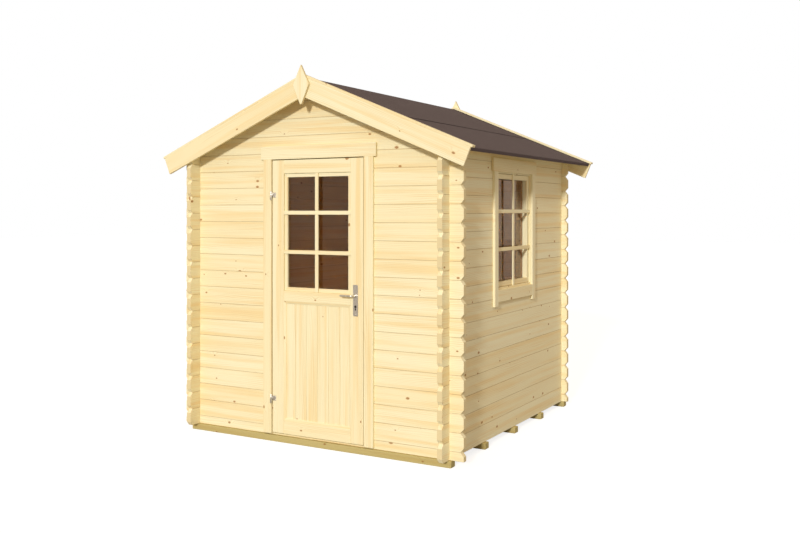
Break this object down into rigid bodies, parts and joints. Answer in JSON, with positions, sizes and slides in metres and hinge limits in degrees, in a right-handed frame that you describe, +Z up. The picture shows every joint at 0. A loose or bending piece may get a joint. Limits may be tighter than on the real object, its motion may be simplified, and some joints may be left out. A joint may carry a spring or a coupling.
{
  "type": "garden house",
  "caption": "Small log garden house with a felted gable roof, a half-glazed door that opens outward and a glazed side window.",
  "frame": {"origin": "on the ground under the middle of the plan", "axes": "+Z up, -Y out through the door, +X out through the window"},
  "size_m": [2.4168, 2.268, 2.4784],
  "materials": {
    "pine": "planed, untreated",
    "bearers": "impregnated, sawn",
    "felt": "bitumen roofing felt, matt",
    "glass": "clear",
    "steel": "satin"
  },
  "bodies": {
    "root": {"foundation_beams": "bearers", "floor_boards": "pine", "threshold": "pine", "front_logs_whole": "pine", "front_logs_between": "pine", "back_logs_whole": "pine", "back_logs_between": "pine", "left_logs_whole": "pine", "left_logs_between": "pine", "right_logs_whole": "pine", "right_logs_between": "pine", "ridge_purlin": "pine", "roof_boards_left": "pine", "roof_boards_right": "pine", "felt_eave_left": "felt", "felt_eave_right": "felt", "felt_ridge": "felt", "barge_boards_left": "pine", "barge_boards_right": "pine", "verge_caps_left": "pine", "verge_caps_right": "pine", "finials": "pine", "door_jambs": "pine", "door_frame_head": "pine", "door_stops": "pine", "door_casings": "pine", "door_head_board": "pine", "window_frame": "pine", "window_sash": "pine", "window_glass": "glass", "window_casings": "pine", "window_head_board": "pine", "window_apron": "pine", "hinge_pins": "steel"},
    "door": {"door_stiles": "pine", "door_rails": "pine", "door_panel": "pine", "door_glazing": "pine", "door_glass": "glass", "door_hinge_plates": "steel", "door_lock_plates": "steel", "door_forend": "steel"},
    "lever": {"door_lever": "steel"}
  },
  "joints": [
    {"name": "door_hinge", "type": "hinge", "parent": "root", "child": "door", "pos_m": [-0.321, -1.0245, 0.97], "axis": [0, 0, -1], "range_deg": [0, 110]},
    {"name": "lever_turn", "type": "hinge", "parent": "door", "child": "lever", "pos_m": [0.342, -1.014, 1.001], "axis": [0, -1, 0], "range_deg": [0, 40], "stiffness_Nm_per_rad": 0.8, "springref_deg": -22.92}
  ]
}
